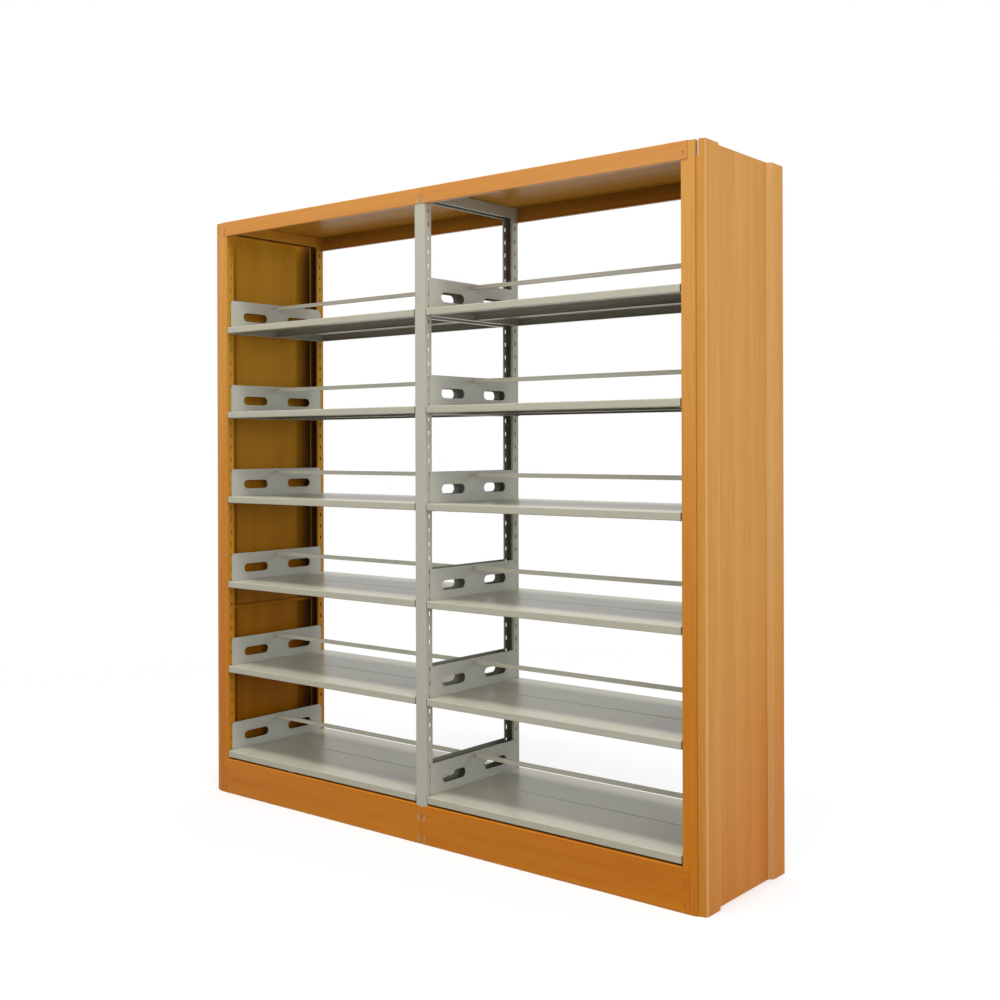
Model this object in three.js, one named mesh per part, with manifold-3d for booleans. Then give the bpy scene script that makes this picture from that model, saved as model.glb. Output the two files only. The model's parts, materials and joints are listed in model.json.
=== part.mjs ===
// Double sided library shelving: slotted steel posts carry hook-on shelf tiers on both sides.
// Millimetres. X runs along the length, the front faces -Y, Z is up, and the origin lies on
// the floor under the middle of the unit.
import * as THREE from 'three';
import { mergeGeometries, mergeVertices } from 'three/addons/utils/BufferGeometryUtils.js';
import Module from 'manifold-3d';

const wasm = await Module();
wasm.setup();

// Overall sizes
const HEIGHT = 2000;
const DEPTH = 450;
const BAY_PITCH = 950;
const BAYS = ['left', 'right'];
const TIERS = 6;
const TOP_TIER_SPACE = 320;

// Clearances
const SEAT_GAP = 0.3;
const BOARD_END_GAP = 2;
const BOARD_SEAM = 2.5;
const COVER_JOINT = 0.8;
const PANEL_GROOVE = 0.5;
const KICK_GAP = 6;

// Folds in the sheet metal, by their inside radius
const FOLD_RADIUS = 0.7;
const FOLD_STEPS = 2;
const ROUND_STEPS = 3;

// Posts and the crossbars between them, lipped channels of one width
const POST_WIDTH = 43;
const POST_DEPTH = 30;
const POST_SHEET = 1.5;
const CHANNEL_LIP = 7;
const CROSSBAR_HEIGHT = 36;
const BOTTOM_CROSSBAR_RISE = 20;

// Rows of slots in the posts
const SLOT_PITCH = 42.4;
const SLOT_WIDTH = 5;
const SLOT_HEIGHT = 14;
const SLOT_SETBACK = 17;
const SLOT_TOP_MARGIN = 60;

// End panels
const PANEL_SHEET = 1;
const PANEL_STANDOFF = 25;
const PANEL_SETBACK = 4;
const PANEL_SLANT = 5;
const PANEL_CORNER_RADIUS = 5;
const PANEL_STRIP = 69;
const PANEL_BEVEL = 9;
const PANEL_RECESS = 13;
const PANEL_NOTCH_WIDTH = 7;
const PANEL_NOTCH_HEIGHT = 42;
const PANEL_RAIL_DEPTH = 10;
const PANEL_RAIL_HEIGHT = 12;
const PANEL_RAIL_SETBACK = 11;
const PANEL_RAIL_BITE = 0.4;
const PANEL_RAIL_SHARES = [0.323, 0.667];

// Top panels and kick plates, which cover the posts to their centre lines
const COVER_SHEET = 1.2;
const COVER_RETURN = 14;
const FASCIA_HEIGHT = 50;
const FASCIA_CORNER_RADIUS = 5;
const KICK_HEIGHT = 119;
const KICK_CORNER_RADIUS = 10;
const HOOK_HOLE_WIDTH = 6;
const HOOK_HOLE_HEIGHT = 21;
const HOOK_HOLE_INSET = 12;
const HOOK_HOLE_TILT = THREE.MathUtils.degToRad(9);
const FASCIA_HOLE_RISE = 13.5;
const KICK_HOLE_RISES = [17, 80];

// Shelf boards, folded pans
const BOARD_HEIGHT = 22;
const BOARD_SHEET = 1;
const BOARD_LIP = 13;
const BOARD_FOLD_RADIUS = 1.6;

// Shelf brackets, with a ledge under the boards and hooks into the slots
const BRACKET_SHEET = 1.5;
const BRACKET_SLOTS = 2;
const BRACKET_TOP_MARGIN = 7.6;
const BRACKET_CORNER_RADIUS = 11;
const LEDGE_WIDTH = 18;
const SHELF_BELOW_SLOT = 2.6;
const HANDHOLE_LENGTH = 107;
const HANDHOLE_DROP = 4;
const HANDHOLE_HEIGHT = 30;
const HANDHOLE_OFFSET = 100;
const HANDHOLE_STEPS = 4;
const HOOK_NECK = 5;
const HOOK_DROP = 6;

// Book stop bars, folded channels open below
const BAR_HEIGHT = 13.5;
const BAR_WIDTH = 7;
const BAR_SHEET = 1;
const BAR_DROP = 5;

// Sizes that follow from the ones above
const HALF_DEPTH = DEPTH / 2;
const HALF_POST = POST_WIDTH / 2;
const END_UPRIGHT = (BAYS.length * BAY_PITCH) / 2;
const POST_TOP = HEIGHT - COVER_SHEET - SEAT_GAP;
const CLEAR_BAY = BAY_PITCH - POST_WIDTH;
const BOARD_LENGTH = CLEAR_BAY - 2 * (SEAT_GAP + BRACKET_SHEET + BOARD_END_GAP);
const BOARD_DEPTH = HALF_DEPTH - BOARD_SEAM / 2;
const COVER_LENGTH = BAY_PITCH - COVER_JOINT;
const COVER_FACE = HALF_DEPTH + SEAT_GAP + COVER_SHEET;
const FIRST_SHELF = KICK_HEIGHT + KICK_GAP + BOARD_HEIGHT;
const FIRST_SLOT = FIRST_SHELF + SHELF_BELOW_SLOT;
const SLOT_ROWS = 1 + Math.floor((POST_TOP - SLOT_TOP_MARGIN - FIRST_SLOT) / SLOT_PITCH);
const SLOTS_PER_TIER = Math.floor((HEIGHT - FIRST_SHELF - TOP_TIER_SPACE) / ((TIERS - 1) * SLOT_PITCH));
const TIER_PITCH = SLOTS_PER_TIER * SLOT_PITCH;
const SLOT_Y = HALF_DEPTH - SLOT_SETBACK;
const UPPER_SLOT = SHELF_BELOW_SLOT + BRACKET_SLOTS * SLOT_PITCH;
const BRACKET_TOP = UPPER_SLOT + BRACKET_TOP_MARGIN;
const LEDGE_TOP = -BOARD_HEIGHT - SEAT_GAP;
const BAR_TOP = BRACKET_TOP - BAR_DROP;

// Finishes
const woodGrain = new THREE.MeshStandardMaterial({ color: 0xd2964c, roughness: 0.38, metalness: 0 });
const greyCoat = new THREE.MeshStandardMaterial({ color: 0xbdbbae, roughness: 0.42, metalness: 0 });

// The closed outline of a folded sheet. The face points run along one side of the sheet, the
// thickness lies on their left, and every point between the ends is a fold. The inside radius
// is one for all folds, or a list with one for each point.
function foldedSheet(face, thickness, inside = FOLD_RADIUS) {
  const near = [];
  const far = [];
  const addPair = (point, normal) => {
    near.push(point);
    far.push(point.clone().addScaledVector(normal, thickness));
  };
  const points = face.map(([u, v]) => new THREE.Vector2(u, v));
  const heading = (i) => points[i + 1].clone().sub(points[i]).normalize();
  const leftOf = (direction) => new THREE.Vector2(-direction.y, direction.x);
  const last = points.length - 1;

  addPair(points[0], leftOf(heading(0)));
  for (let i = 1; i < last; i += 1) {
    const before = heading(i - 1);
    const after = heading(i);
    const turn = Math.atan2(before.cross(after), before.dot(after));
    const side = Math.sign(turn);
    const insideRadius = Array.isArray(inside) ? inside[i] : inside;
    const radius = side > 0 ? insideRadius + thickness : insideRadius;
    const start = points[i].clone().addScaledVector(before, -radius * Math.tan(Math.abs(turn) / 2));
    const centre = start.clone().addScaledVector(leftOf(before), side * radius);
    for (let step = 0; step <= FOLD_STEPS; step += 1) {
      const normal = leftOf(before).rotateAround(new THREE.Vector2(), (turn * step) / FOLD_STEPS);
      addPair(centre.clone().addScaledVector(normal, -side * radius), normal);
    }
  }
  addPair(points[last], leftOf(heading(last - 1)));
  return [...near, ...far.reverse()];
}

// The outline of a lipped channel, with its web on v = 0 and its open side at v = depth
function lippedChannel(width, depth, thickness) {
  const half = width / 2;
  return foldedSheet(
    [
      [-half + CHANNEL_LIP, depth],
      [-half, depth],
      [-half, 0],
      [half, 0],
      [half, depth],
      [half - CHANNEL_LIP, depth],
    ],
    thickness,
  );
}

// A slot outline with round ends, upright, about its own middle
function roundedSlot(width, height, steps) {
  const radius = width / 2;
  const reach = height / 2 - radius;
  const points = [];
  for (const end of [1, -1]) {
    for (let step = 0; step <= steps; step += 1) {
      const angle = (Math.PI * step) / steps;
      const across = radius * Math.cos(angle);
      const along = reach + radius * Math.sin(angle);
      points.push(new THREE.Vector2(end * across, end * along));
    }
  }
  return points;
}

// What lies outside a rounded corner: the corner is the origin, and the piece lies at -u, -v
function cornerWaste(radius) {
  const points = [new THREE.Vector2(radius, radius), new THREE.Vector2(-radius, radius)];
  for (let step = 0; step <= ROUND_STEPS; step += 1) {
    const angle = (Math.PI / 2) * (1 - step / ROUND_STEPS);
    points.push(new THREE.Vector2(radius * (Math.cos(angle) - 1), radius * (Math.sin(angle) - 1)));
  }
  points.push(new THREE.Vector2(radius, -radius));
  return points;
}

// Extrusions: along Z from 0, and along X or Y about the middle of the length
function alongZ(outline, length) {
  return new THREE.ExtrudeGeometry(new THREE.Shape(outline), { depth: length, bevelEnabled: false });
}

// The outline's u runs along Y and its v along Z
function alongX(outline, length) {
  return alongZ(outline, length).translate(0, 0, -length / 2).rotateX(Math.PI / 2).rotateZ(Math.PI / 2);
}

// The outline's u runs along X and its v along Z
function alongY(outline, length) {
  return alongZ(outline, length).translate(0, 0, -length / 2).rotateX(Math.PI / 2);
}

// A closed geometry as a solid for joining and cutting, and back again
function solid(geometry) {
  const bare = geometry.clone();
  bare.deleteAttribute('normal');
  bare.deleteAttribute('uv');
  const welded = mergeVertices(bare);
  const vertProperties = new Float32Array(welded.attributes.position.array);
  const triVerts = new Uint32Array(welded.index.array);
  return new wasm.Manifold(new wasm.Mesh({ numProp: 3, vertProperties, triVerts }));
}

function geometryOf(manifold) {
  const { vertProperties, triVerts } = manifold.getMesh();
  const geometry = new THREE.BufferGeometry();
  geometry.setAttribute('position', new THREE.BufferAttribute(vertProperties, 3));
  geometry.setIndex(new THREE.BufferAttribute(triVerts, 1));
  geometry.computeVertexNormals();
  return geometry;
}

// A post stands on its web face at y = 0 and opens towards +Y. The listed sides have slots.
function postGeometry(slottedSides) {
  const slots = [];
  for (const side of slottedSides) {
    for (let row = 0; row < SLOT_ROWS; row += 1) {
      const slot = new THREE.BoxGeometry(2 * POST_SHEET, SLOT_WIDTH, SLOT_HEIGHT);
      const x = side * (HALF_POST - POST_SHEET / 2);
      slots.push(slot.translate(x, SLOT_SETBACK, FIRST_SLOT + row * SLOT_PITCH));
    }
  }
  const channel = alongZ(lippedChannel(POST_WIDTH, POST_DEPTH, POST_SHEET), POST_TOP);
  return geometryOf(solid(channel).subtract(solid(mergeGeometries(slots))));
}

// A crossbar spans between the open sides of two posts, web up and open below, its top at z = 0
function crossbarGeometry() {
  const outline = lippedChannel(POST_WIDTH, CROSSBAR_HEIGHT, POST_SHEET);
  const hanging = outline.map((point) => new THREE.Vector2(-point.x, -point.y));
  return alongY(hanging, DEPTH - 2 * (POST_DEPTH + SEAT_GAP));
}

// An end panel for the +X end: raised strips beside the posts and a field set in between them, with
// stiffening rails welded across its inside
function endPanelGeometry() {
  const inner = END_UPRIGHT + HALF_POST + PANEL_GROOVE;
  const outer = END_UPRIGHT + HALF_POST + PANEL_STANDOFF;
  const edge = HALF_DEPTH - PANEL_SETBACK;
  const corner = edge - PANEL_SLANT;
  const strip = corner - PANEL_STRIP;
  const field = strip - PANEL_BEVEL;
  const half = [
    [inner, edge],
    [outer, corner],
    [outer, strip],
    [outer - PANEL_RECESS, field],
  ];
  const front = half.map(([x, y]) => [x, -y]);
  const halfRadii = [0, PANEL_CORNER_RADIUS, FOLD_RADIUS, FOLD_RADIUS];
  const radii = [...halfRadii, ...halfRadii.toReversed()];
  const sheet = solid(alongZ(foldedSheet([...front, ...half.toReversed()], PANEL_SHEET, radii), HEIGHT));
  const notch = new THREE.BoxGeometry(2 * PANEL_NOTCH_WIDTH, 3 * DEPTH, 2 * PANEL_NOTCH_HEIGHT);
  let panel = sheet.subtract(solid(notch.translate(inner, 0, HEIGHT)));
  const weld = outer - PANEL_RECESS - PANEL_SHEET + PANEL_RAIL_BITE;
  const wall = weld - PANEL_RAIL_BITE - PANEL_RAIL_DEPTH;
  for (const share of PANEL_RAIL_SHARES) {
    const top = share * HEIGHT;
    const foot = top - PANEL_RAIL_HEIGHT;
    const section = foldedSheet([[weld, top], [wall, top], [wall, foot], [weld, foot]], PANEL_SHEET);
    panel = panel.add(solid(alongY(section, 2 * (edge - PANEL_RAIL_SETBACK))));
  }
  return geometryOf(panel);
}

// A sloping hole near one end of a cover, cut right through along Y
function hookHole(end, rise) {
  const outline = roundedSlot(HOOK_HOLE_WIDTH, HOOK_HOLE_HEIGHT, ROUND_STEPS);
  const hole = alongY(outline, 2 * DEPTH).rotateY(-end * HOOK_HOLE_TILT);
  return hole.translate(end * (COVER_LENGTH / 2 - HOOK_HOLE_INSET), 0, rise);
}

// A rounded corner at one end of a cover: the piece lies below the corner, or above if turned over
function coverCorner(end, height, radius, turnedOver) {
  const waste = cornerWaste(radius).map(
    ({ x, y }) => new THREE.Vector2(end * x, turnedOver ? -y : y),
  );
  return alongY(waste, 2 * DEPTH).translate((end * COVER_LENGTH) / 2, 0, height);
}

// The room that a cover's inward return leaves for the post at one end, seen from the cover's face
function postRoom(end, side, low, high) {
  const width = HALF_POST + SEAT_GAP;
  const room = new THREE.BoxGeometry(2 * width, POST_DEPTH, high - low);
  const y = side * (HALF_DEPTH + SEAT_GAP - POST_DEPTH / 2);
  return room.translate((end * BAY_PITCH) / 2, y, (low + high) / 2);
}

// A top panel: a sheet over the posts with a fascia at the front and the rear
function topPanelGeometry() {
  const low = HEIGHT - FASCIA_HEIGHT;
  const outline = foldedSheet(
    [
      [COVER_FACE - COVER_RETURN, low],
      [COVER_FACE, low],
      [COVER_FACE, HEIGHT],
      [-COVER_FACE, HEIGHT],
      [-COVER_FACE, low],
      [-COVER_FACE + COVER_RETURN, low],
    ],
    COVER_SHEET,
  );
  let panel = solid(alongX(outline, COVER_LENGTH));
  for (const end of [-1, 1]) {
    panel = panel.subtract(solid(hookHole(end, low + FASCIA_HOLE_RISE)));
    panel = panel.subtract(solid(coverCorner(end, low, FASCIA_CORNER_RADIUS, true)));
    for (const side of [-1, 1]) {
      panel = panel.subtract(solid(postRoom(end, side, low - COVER_SHEET, low + COVER_RETURN)));
    }
  }
  return geometryOf(panel);
}

// A kick plate for the front: an upright sheet from the floor with inward returns at both edges
function kickPlateGeometry() {
  const outline = foldedSheet(
    [
      [-COVER_FACE + COVER_RETURN, KICK_HEIGHT],
      [-COVER_FACE, KICK_HEIGHT],
      [-COVER_FACE, 0],
      [-COVER_FACE + COVER_RETURN, 0],
    ],
    COVER_SHEET,
  );
  let plate = solid(alongX(outline, COVER_LENGTH));
  for (const end of [-1, 1]) {
    for (const rise of KICK_HOLE_RISES) {
      plate = plate.subtract(solid(hookHole(end, rise)));
    }
    plate = plate.subtract(solid(coverCorner(end, KICK_HEIGHT, KICK_CORNER_RADIUS, false)));
    plate = plate.subtract(solid(postRoom(end, -1, -COVER_SHEET, KICK_HEIGHT + COVER_SHEET)));
  }
  return geometryOf(plate);
}

// A shelf board for the front: a pan with its top at z = 0, a nosing, an inner flange, lips and closed ends
function boardGeometry() {
  const nose = -HALF_DEPTH;
  const back = nose + BOARD_DEPTH;
  const outline = foldedSheet(
    [
      [back - BOARD_LIP, -BOARD_HEIGHT],
      [back, -BOARD_HEIGHT],
      [back, 0],
      [nose, 0],
      [nose, -BOARD_HEIGHT],
      [nose + BOARD_LIP, -BOARD_HEIGHT],
    ],
    BOARD_SHEET,
    BOARD_FOLD_RADIUS,
  );
  const endCap = outline.slice(0, outline.length / 2);
  let board = solid(alongX(outline, BOARD_LENGTH));
  for (const end of [-1, 1]) {
    const x = (end * (BOARD_LENGTH - BOARD_SHEET)) / 2;
    board = board.add(solid(alongX(endCap, BOARD_SHEET).translate(x, 0, 0)));
  }
  return geometryOf(board);
}

// A hook through one post wall at one end of a bracket, reaching from the plate at x = 0 to -X
function hookGeometry(end, slotRise) {
  const neckLow = slotRise - SLOT_HEIGHT / 2 + SEAT_GAP;
  const behindWall = -(2 * SEAT_GAP + POST_SHEET);
  const tip = behindWall - BRACKET_SHEET;
  const outline = [
    [BRACKET_SHEET / 2, neckLow],
    [BRACKET_SHEET / 2, neckLow + HOOK_NECK],
    [tip, neckLow + HOOK_NECK],
    [tip, neckLow - HOOK_DROP],
    [behindWall, neckLow - HOOK_DROP],
    [behindWall, neckLow],
  ].map(([x, z]) => new THREE.Vector2(x, z));
  return alongY(outline, BRACKET_SHEET).translate(0, end * (SLOT_Y - BRACKET_SHEET), 0);
}

// A bracket for the left end of a tier: a plate at x = 0 with a ledge to +X, about the shelf's top
function bracketSolid() {
  const low = LEDGE_TOP - BRACKET_SHEET;
  const outline = foldedSheet(
    [
      [0, BRACKET_TOP],
      [0, low],
      [LEDGE_WIDTH, low],
    ],
    BRACKET_SHEET,
  );
  let bracket = solid(alongY(outline, 2 * SLOT_Y));
  const upright = roundedSlot(HANDHOLE_HEIGHT, HANDHOLE_LENGTH, HANDHOLE_STEPS);
  const handhole = upright.map(({ x, y }) => new THREE.Vector2(y, -x));
  for (const end of [-1, 1]) {
    const rise = SHELF_BELOW_SLOT + (BRACKET_SLOTS * SLOT_PITCH) / 2 - HANDHOLE_DROP;
    const cut = alongX(handhole, 4 * BRACKET_SHEET).translate(0, end * HANDHOLE_OFFSET, rise);
    const waste = cornerWaste(BRACKET_CORNER_RADIUS).map(({ x, y }) => new THREE.Vector2(end * x, y));
    const corner = alongX(waste, 4 * BRACKET_SHEET).translate(0, end * SLOT_Y, BRACKET_TOP);
    bracket = bracket.subtract(solid(cut)).subtract(solid(corner));
    for (const slotRise of [SHELF_BELOW_SLOT, UPPER_SLOT]) {
      bracket = bracket.add(solid(hookGeometry(end, slotRise)));
    }
  }
  return bracket;
}

// One tier's carrier: a bracket at each end of the bay, joined by the book stop bar
function carrierGeometry() {
  const reach = CLEAR_BAY / 2 - SEAT_GAP;
  const bracket = geometryOf(bracketSolid());
  const leftBracket = bracket.clone().translate(-reach, 0, 0);
  const rightBracket = bracket.clone().rotateZ(Math.PI).translate(reach, 0, 0);
  const outline = foldedSheet(
    [
      [BAR_WIDTH / 2, BAR_TOP - BAR_HEIGHT],
      [BAR_WIDTH / 2, BAR_TOP],
      [-BAR_WIDTH / 2, BAR_TOP],
      [-BAR_WIDTH / 2, BAR_TOP - BAR_HEIGHT],
    ],
    BAR_SHEET,
  );
  const bar = alongX(outline, 2 * reach - BRACKET_SHEET);
  return geometryOf(solid(leftBracket).add(solid(rightBracket)).add(solid(bar)));
}

// The assembly. A turned piece faces the rear, or the other end.
const shelving = new THREE.Group();

function place(name, geometry, material, [x, y, z], turned = false) {
  const mesh = new THREE.Mesh(geometry, material);
  mesh.name = name;
  mesh.position.set(x, y, z);
  mesh.rotation.z = turned ? Math.PI : 0;
  shelving.add(mesh);
}

const uprights = [
  { name: 'left', x: -END_UPRIGHT, slotted: [1], finish: woodGrain },
  { name: 'centre', x: 0, slotted: [-1, 1], finish: greyCoat },
  { name: 'right', x: END_UPRIGHT, slotted: [-1], finish: woodGrain },
];
const crossbar = crossbarGeometry();
for (const { name, x, slotted, finish } of uprights) {
  const turnedSides = slotted.map((side) => -side);
  place(`front_post_${name}`, postGeometry(slotted), finish, [x, -HALF_DEPTH, 0]);
  place(`rear_post_${name}`, postGeometry(turnedSides), finish, [x, HALF_DEPTH, 0], true);
  place(`top_crossbar_${name}`, crossbar, finish, [x, 0, POST_TOP]);
  place(`bottom_crossbar_${name}`, crossbar, finish, [x, 0, BOTTOM_CROSSBAR_RISE + CROSSBAR_HEIGHT]);
}

const endPanel = endPanelGeometry();
place('end_panel_right', endPanel, woodGrain, [0, 0, 0]);
place('end_panel_left', endPanel, woodGrain, [0, 0, 0], true);

const topPanel = topPanelGeometry();
const kickPlate = kickPlateGeometry();
const carrier = carrierGeometry();
const board = boardGeometry();
BAYS.forEach((bay, index) => {
  const x = (index - (BAYS.length - 1) / 2) * BAY_PITCH;
  place(`top_panel_${bay}`, topPanel, woodGrain, [x, 0, 0]);
  place(`kick_plate_${bay}_front`, kickPlate, woodGrain, [x, 0, 0]);
  place(`kick_plate_${bay}_rear`, kickPlate, woodGrain, [x, 0, 0], true);
  for (let tier = 1; tier <= TIERS; tier += 1) {
    const shelfTop = FIRST_SHELF + (tier - 1) * TIER_PITCH;
    place(`shelf_carrier_${bay}_${tier}`, carrier, greyCoat, [x, 0, shelfTop]);
    place(`shelf_board_${bay}_${tier}_front`, board, greyCoat, [x, 0, shelfTop]);
    place(`shelf_board_${bay}_${tier}_rear`, board, greyCoat, [x, 0, shelfTop], true);
  }
});

export default shelving;
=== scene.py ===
# %% [markdown]
# # Double sided library shelving
# This lesson dresses a steel library unit: slotted posts, hook-on brackets, folded shelf boards, kick
# plates, top panels and end panels with a printed wood grain. The construction arrives as a fixed frame
# with every piece at its real size, in metres, with the length along X, the front towards -Y and Z up.
# Nothing here moves or resizes that frame: the lesson only builds finer sheet metal in the same places and
# paints it.

# %% Load the fixed frame
import cmath
import json
import math

import bpy
from mathutils import Matrix, Vector
from mathutils.geometry import delaunay_2d_cdt

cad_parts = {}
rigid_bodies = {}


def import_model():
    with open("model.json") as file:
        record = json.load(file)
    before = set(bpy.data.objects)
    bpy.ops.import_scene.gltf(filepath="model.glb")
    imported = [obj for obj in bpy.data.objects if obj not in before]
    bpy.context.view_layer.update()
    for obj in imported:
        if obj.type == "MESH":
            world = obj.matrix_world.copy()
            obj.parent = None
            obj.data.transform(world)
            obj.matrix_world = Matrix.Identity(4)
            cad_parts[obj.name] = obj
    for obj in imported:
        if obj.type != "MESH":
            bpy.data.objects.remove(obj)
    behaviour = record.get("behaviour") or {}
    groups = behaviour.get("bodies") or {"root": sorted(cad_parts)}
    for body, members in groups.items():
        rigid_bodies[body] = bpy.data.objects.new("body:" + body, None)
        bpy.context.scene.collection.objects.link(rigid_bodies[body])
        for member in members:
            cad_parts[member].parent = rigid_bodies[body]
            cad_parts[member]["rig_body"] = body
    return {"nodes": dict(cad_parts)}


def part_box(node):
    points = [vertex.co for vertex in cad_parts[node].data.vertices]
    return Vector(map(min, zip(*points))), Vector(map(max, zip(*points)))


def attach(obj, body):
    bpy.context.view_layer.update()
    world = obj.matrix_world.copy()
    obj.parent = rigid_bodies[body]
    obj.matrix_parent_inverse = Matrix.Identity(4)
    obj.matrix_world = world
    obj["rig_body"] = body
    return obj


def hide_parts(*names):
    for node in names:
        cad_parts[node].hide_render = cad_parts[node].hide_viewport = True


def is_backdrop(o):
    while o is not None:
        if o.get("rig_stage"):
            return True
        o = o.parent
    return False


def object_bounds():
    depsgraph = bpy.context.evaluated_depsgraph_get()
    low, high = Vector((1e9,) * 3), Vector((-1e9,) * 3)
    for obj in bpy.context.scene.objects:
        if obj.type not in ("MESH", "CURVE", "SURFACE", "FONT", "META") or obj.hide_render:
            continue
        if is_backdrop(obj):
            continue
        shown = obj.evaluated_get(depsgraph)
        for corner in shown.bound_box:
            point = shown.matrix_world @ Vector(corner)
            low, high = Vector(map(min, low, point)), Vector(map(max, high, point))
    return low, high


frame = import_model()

MM = 0.001

cad_low, cad_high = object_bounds()
print("frame box", *[round(c, 4) for c in (*cad_low, *cad_high)])

# %% [markdown]
# ## The camera
# A product picture is easiest to compare when the camera stands where the photographer stood. The place,
# the turn and the focal length below were fitted to the unit's corners and shelf lines. The fitted picture
# centre lies a little off the middle of the frame, and a lens shift of the same amount copies that.

# %% Camera at the photograph's angle
PICTURE_PIXELS = 1000
PICTURE_MIDDLE = 0.5
SENSOR_WIDTH = 36
LEVEL = math.radians(90)
FOCAL_PIXELS = 1257.13
AIM_PIXEL = (534.35, 446.58)
CAMERA_PLACE = (2.6485, -3.0160, 1.2094)
CAMERA_TURN = math.radians(38.3098)
CAMERA_ROLL = math.radians(0.17)

camera = bpy.data.objects.new("photo_camera", bpy.data.cameras.new("photo_camera"))
camera.data.sensor_width = SENSOR_WIDTH
camera.data.lens = FOCAL_PIXELS / PICTURE_PIXELS * SENSOR_WIDTH
camera.data.shift_x = PICTURE_MIDDLE - AIM_PIXEL[0] / PICTURE_PIXELS
camera.data.shift_y = AIM_PIXEL[1] / PICTURE_PIXELS - PICTURE_MIDDLE
camera.location = CAMERA_PLACE
camera.rotation_euler = (LEVEL, CAMERA_ROLL, CAMERA_TURN)
bpy.context.scene.collection.objects.link(camera)
bpy.context.scene.camera = camera
print("lens", round(camera.data.lens, 2), "mm")

# %% [markdown]
# ## Writing materials as arithmetic
# A node tree is a formula, and it reads better as one. The Wire class below wraps an output socket, so that
# `1 - mask` or `tone * 0.2` adds the Math nodes by itself. Everything else, such as a noise or a bump,
# comes from the one method of Paint that takes a node's type, its settings and its sockets. The short
# methods after it only name the nodes that every finish needs. All patterns are laid out in a piece's own
# coordinates, so they stay in place on a piece that moves.

# %% A socket that can be added and multiplied
class Wire:
    def __init__(self, paint, socket):
        self.paint = paint
        self.socket = socket

    def combine(self, operation, first, second):
        return self.paint.node("Math", {"operation": operation}, {0: first, 1: second})

    def __add__(self, other):
        return self.combine("ADD", self, other)

    def __sub__(self, other):
        return self.combine("SUBTRACT", self, other)

    def __rsub__(self, other):
        return self.combine("SUBTRACT", other, self)

    def __mul__(self, other):
        return self.combine("MULTIPLY", self, other)

    __radd__ = __add__
    __rmul__ = __mul__


# %% A material under construction
COLOUR_RESULT = 2
COLOUR_A = 6
COLOUR_B = 7
PEEL_DETAIL = 2
PEEL_DEPTH = 0.4 * MM


class Paint:
    def __init__(self, holder):
        self.holder = holder
        holder.use_nodes = True
        self.tree = holder.node_tree
        self.shader = self.tree.nodes.get("Principled BSDF") or self.tree.nodes["Background"]

    def plug(self, socket, value):
        if isinstance(value, Wire):
            self.tree.links.new(value.socket, socket)
        else:
            socket.default_value = value

    def node(self, kind, settings, sockets, output=0):
        made = self.tree.nodes.new("ShaderNode" + kind)
        for key, value in settings.items():
            setattr(made, key, value)
        for key, value in sockets.items():
            self.plug(made.inputs[key], value)
        return Wire(self, made.outputs[output])

    def mix(self, factor, first, second):
        sockets = {0: factor, COLOUR_A: first, COLOUR_B: second}
        return self.node("Mix", {"data_type": "RGBA"}, sockets, COLOUR_RESULT)

    def place(self):
        return self.node("TexCoord", {}, {}, "Object")

    def mirrored(self, place):
        return self.node("VectorMath", {"operation": "ABSOLUTE"}, {0: place})

    def along(self, axis, vector):
        return self.node("SeparateXYZ", {}, {"Vector": vector}, axis)

    def noise(self, place, scale, detail, roughness=0.5):
        sockets = {"Vector": place, "Scale": scale, "Detail": detail, "Roughness": roughness}
        return self.node("TexNoise", {}, sockets, "Fac")

    def between(self, value, low, high):
        sockets = {"Value": value, "From Min": low, "From Max": high}
        return self.node("MapRange", {"interpolation_type": "SMOOTHSTEP"}, sockets)

    def orange_peel(self, place, scale, strength):
        peel = self.noise(place, scale, PEEL_DETAIL)
        return self.node("Bump", {}, {"Strength": strength, "Distance": PEEL_DEPTH, "Height": peel})

    def finish(self, **sockets):
        for key, value in sockets.items():
            self.plug(self.shader.inputs[key.replace("_", " ")], value)
        return self.holder


# %% [markdown]
# ## The wood-grain print
# The warm panels are sheet steel too: a wood pattern is printed on the powder coat and sealed under a clear
# layer. So the grain is colour only, with no relief, and the surface shines evenly across it. A photograph
# of wood could be pasted on, but noise that is stretched along one axis gives streaks that never repeat.
# Upright pieces have an upright grain and the long covers a level one, so the stretched axis is a choice.
#
# One print looks different over the unit. It is painted paler high up and deep orange near the floor, a
# painted light gradient that stands in for the light falling from above. Inside, it is painted darker,
# olive and duller, as painted shade, and darkest in the corners behind the posts, as painted shadow. So a
# tone is three colours, for light wood, deep wood and veins, and each finish turns from one tone to
# another.

# %% Wood tones
# The pale colour of the painted highlight lines along an end panel's folds and corners.
HIGHLIGHT_WOOD = (0.74, 0.46, 0.20, 1)
# Pale and deep tones are the two ends of a painted light gradient: paler high up, deeper near the floor.
PALE_GRAIN = ((0.66, 0.315, 0.062, 1), (0.57, 0.245, 0.038, 1), (0.46, 0.175, 0.020, 1))
FASCIA_PALE = ((0.65, 0.283, 0.062, 1), (0.59, 0.238, 0.045, 1), (0.50, 0.182, 0.028, 1))
DEEP_GRAIN = ((0.62, 0.210, 0.012, 1), (0.53, 0.155, 0.007, 1), (0.42, 0.108, 0.004, 1))
# Painted shade: a darker copy of the print for faces that look up at the lamps.
TOP_PALE = ((0.46, 0.208, 0.052, 1), (0.42, 0.178, 0.039, 1), (0.36, 0.140, 0.026, 1))
WALL_PALE = ((0.56, 0.290, 0.030, 1), (0.48, 0.228, 0.019, 1), (0.39, 0.165, 0.010, 1))
WALL_DEEP = ((0.58, 0.232, 0.010, 1), (0.50, 0.175, 0.006, 1), (0.40, 0.122, 0.004, 1))
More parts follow.
